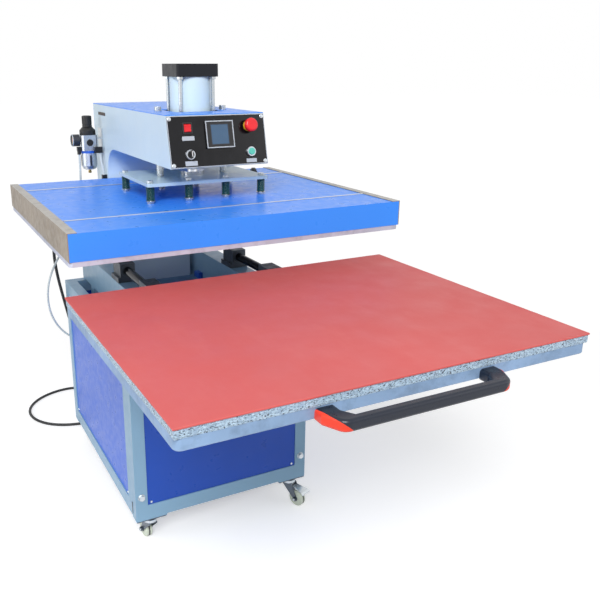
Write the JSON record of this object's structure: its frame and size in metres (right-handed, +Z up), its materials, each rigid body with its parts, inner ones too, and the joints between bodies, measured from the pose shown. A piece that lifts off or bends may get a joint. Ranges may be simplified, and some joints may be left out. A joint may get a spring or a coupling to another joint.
{
  "type": "slide-out heat press",
  "caption": "Pneumatic heat press on a wheeled cabinet, with a wide padded table that slides out on shafts from under a spring-hung heated platen.",
  "frame": {"origin": "on the floor, in the middle of the object's width and depth with the table pulled out", "axes": "+X to the operator's right, +Y from the operator to the back, +Z up"},
  "size_m": [1.0412, 2.3592, 1.551],
  "materials": {
    "frame_paint": "light grey-blue powder coat",
    "head_paint": "pale grey powder coat",
    "blue_paint": "blue powder coat",
    "trim_paint": "pale grey powder coat",
    "panel_black": "satin black",
    "zinc_plate": "zinc plated",
    "wheel_plastic": "moulded",
    "cast_aluminium": "machined",
    "dark_casting": "dark grey, cast",
    "cap_black": "black anodised",
    "hard_chrome": "polished",
    "bright_steel": "plated",
    "spring_paint": "dark green lacquer",
    "red_silicone": "smooth silicone",
    "needle_felt": "pressed felt",
    "fibre_board": "ceramic fibre",
    "handle_navy": "moulded",
    "handle_orange": "moulded",
    "black_plastic": "moulded",
    "red_plastic": "moulded",
    "yellow_plastic": "moulded",
    "green_plastic": "moulded",
    "bowl_metal": "painted guard",
    "gauge_metal": "plated case",
    "cord_rubber": "matte",
    "tube_plastic": "polyurethane"
  },
  "bodies": {
    "base": {"cabinet_frame": "frame_paint", "cabinet_panels": "blue_paint", "cabinet_screws": "frame_paint", "caster_plates": "zinc_plate", "slide_beams": "frame_paint", "bearing_blocks": "dark_casting", "c_frame": "head_paint", "column_rear_cover": "blue_paint", "head_top_cover": "blue_paint", "cylinder_mount": "bright_steel", "control_panel": "panel_black", "rocker_housing": "black_plastic", "button_bezels": "hard_chrome", "controller": "black_plastic", "estop_collar": "yellow_plastic", "cylinder_caps": "cap_black", "cylinder_barrel": "cast_aluminium", "tie_rods": "bright_steel", "regulator_body": "cast_aluminium", "regulator_bracket": "zinc_plate", "regulator_bowl": "bowl_metal", "pressure_gauge": "gauge_metal", "air_fittings": "black_plastic", "solenoid_valve": "black_plastic", "power_gland": "black_plastic", "power_cord": "cord_rubber", "power_cord_coil": "cord_rubber", "power_plug": "black_plastic", "air_tube": "tube_plastic"},
    "table": {"table_casting": "cast_aluminium", "felt_board": "needle_felt", "silicone_mat": "red_silicone", "slide_shafts": "hard_chrome", "shaft_supports": "dark_casting", "handle_bar": "handle_navy", "handle_ends": "handle_orange"},
    "ram": {"piston_rod": "hard_chrome", "press_plate": "bright_steel", "guide_rods": "hard_chrome"},
    "platen": {"platen_cover": "blue_paint", "platen_trim": "trim_paint", "heater_plate": "cast_aluminium", "insulation_board": "fibre_board", "spring_bolts": "bright_steel", "springs": "spring_paint"},
    "front_left_swivel": {"front_left_fork": "zinc_plate"},
    "front_left_roller": {"front_left_wheel": "wheel_plastic"},
    "front_right_swivel": {"front_right_fork": "zinc_plate"},
    "front_right_roller": {"front_right_wheel": "wheel_plastic"},
    "brake": {"brake_pedal": "zinc_plate"},
    "rear_left_swivel": {"rear_left_fork": "zinc_plate"},
    "rear_left_roller": {"rear_left_wheel": "wheel_plastic"},
    "rear_right_swivel": {"rear_right_fork": "zinc_plate"},
    "rear_right_roller": {"rear_right_wheel": "wheel_plastic"},
    "rocker_switch": {"rocker_switch": "red_plastic"},
    "selector_knob": {"selector_knob": "black_plastic"},
    "estop_button": {"estop_button": "red_plastic"},
    "start_button": {"start_button": "green_plastic"},
    "regulator_knob": {"regulator_knob": "black_plastic"},
    "gauge_needle": {"gauge_needle": "red_plastic"}
  },
  "joints": [
    {"name": "table_slide", "type": "slide", "parent": "base", "child": "table", "axis": [0, 1, 0], "range_m": [0, 0.76065]},
    {"name": "ram_stroke", "type": "slide", "parent": "base", "child": "ram", "axis": [0, 0, -1], "range_m": [0, 0.103]},
    {"name": "platen_float", "type": "slide", "parent": "ram", "child": "platen", "axis": [0, 0, 1], "range_m": [0, 0.005], "stiffness_N_per_m": 46000, "springref_m": -0.005, "deforming": ["springs"]},
    {"name": "front_left_swivel", "type": "hinge", "parent": "base", "child": "front_left_swivel", "pos_m": [-0.2679, 0.0867, 0.08], "axis": [0, 0, 1], "continuous": true},
    {"name": "front_left_roll", "type": "hinge", "parent": "front_left_swivel", "child": "front_left_roller", "pos_m": [-0.27208, 0.12648, 0.03], "axis": [0.9945, 0.1045, 0], "continuous": true},
    {"name": "front_right_swivel", "type": "hinge", "parent": "base", "child": "front_right_swivel", "pos_m": [0.2679, 0.0867, 0.08], "axis": [0, 0, 1], "continuous": true},
    {"name": "front_right_roll", "type": "hinge", "parent": "front_right_swivel", "child": "front_right_roller", "pos_m": [0.28288, 0.04962, 0.03], "axis": [-0.9272, -0.3746, 0], "continuous": true},
    {"name": "brake_pedal", "type": "hinge", "parent": "front_right_swivel", "child": "brake", "pos_m": [0.27314, 0.07372, 0.0737], "axis": [0.9272, 0.3746, 0], "range_deg": [0, 8]},
    {"name": "rear_left_swivel", "type": "hinge", "parent": "base", "child": "rear_left_swivel", "pos_m": [-0.2679, 0.8852, 0.08], "axis": [0, 0, 1], "continuous": true},
    {"name": "rear_left_roll", "type": "hinge", "parent": "rear_left_swivel", "child": "rear_left_roller", "pos_m": [-0.24062, 0.91446, 0.03], "axis": [0.7314, -0.682, 0], "continuous": true},
    {"name": "rear_right_swivel", "type": "hinge", "parent": "base", "child": "rear_right_swivel", "pos_m": [0.2679, 0.8852, 0.08], "axis": [0, 0, 1], "continuous": true},
    {"name": "rear_right_roll", "type": "hinge", "parent": "rear_right_swivel", "child": "rear_right_roller", "pos_m": [0.24062, 0.91446, 0.03], "axis": [0.7314, 0.682, 0], "continuous": true},
    {"name": "rocker_tilt", "type": "hinge", "parent": "base", "child": "rocker_switch", "pos_m": [-0.097, 0.0928, 1.36826], "axis": [-1, 0, 0], "range_deg": [0, 20]},
    {"name": "selector_turn", "type": "hinge", "parent": "base", "child": "selector_knob", "pos_m": [-0.097, 0.06369, 1.29491], "axis": [0, -0.9748, 0.2233], "range_deg": [-45, 45]},
    {"name": "estop_push", "type": "slide", "parent": "base", "child": "estop_button", "axis": [0, 0.9748, -0.2233], "range_m": [0, 0.004]},
    {"name": "start_push", "type": "slide", "parent": "base", "child": "start_button", "axis": [0, 0.9748, -0.2233], "range_m": [0, 0.003], "stiffness_N_per_m": 800, "springref_m": -0.001},
    {"name": "regulator_turn", "type": "hinge", "parent": "base", "child": "regulator_knob", "pos_m": [-0.211, 0.8205, 1.33], "axis": [0, 0, 1], "range_deg": [-720, 720]},
    {"name": "needle_turn", "type": "hinge", "parent": "base", "child": "gauge_needle", "pos_m": [-0.272, 0.8205, 1.277], "axis": [-1, 0, 0], "range_deg": [-135, 135]}
  ]
}
